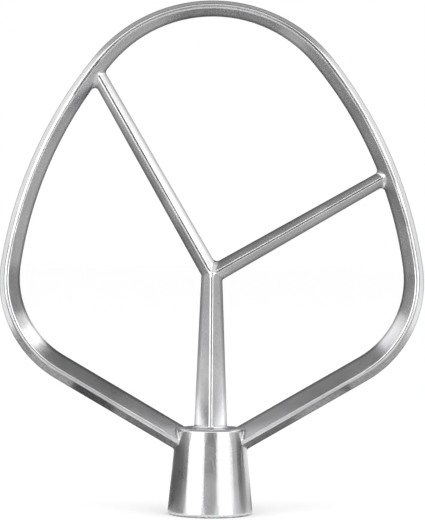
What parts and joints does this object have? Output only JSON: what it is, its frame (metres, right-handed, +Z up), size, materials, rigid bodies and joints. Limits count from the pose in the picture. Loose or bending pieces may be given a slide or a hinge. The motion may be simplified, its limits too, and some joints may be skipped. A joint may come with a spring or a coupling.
{
  "type": "stand mixer beater",
  "caption": "Flat mixer beater cast in one piece: a tapered hub with a blind drive bore, a ridged stem, two slanted spokes and a rounded rim on straight arms.",
  "frame": {"origin": "centre of the hub's mouth, on which the beater stands", "axes": "+Z up along the hub's bore towards the top of the rim, +X across the rim, +Y from front to back"},
  "size_m": [0.15, 0.03, 0.1814],
  "materials": {
    "burnished_aluminium": "tumbled and burnished casting, satin sheen"
  },
  "bodies": {
    "root": {"beater_casting": "burnished_aluminium"}
  },
  "joints": []
}
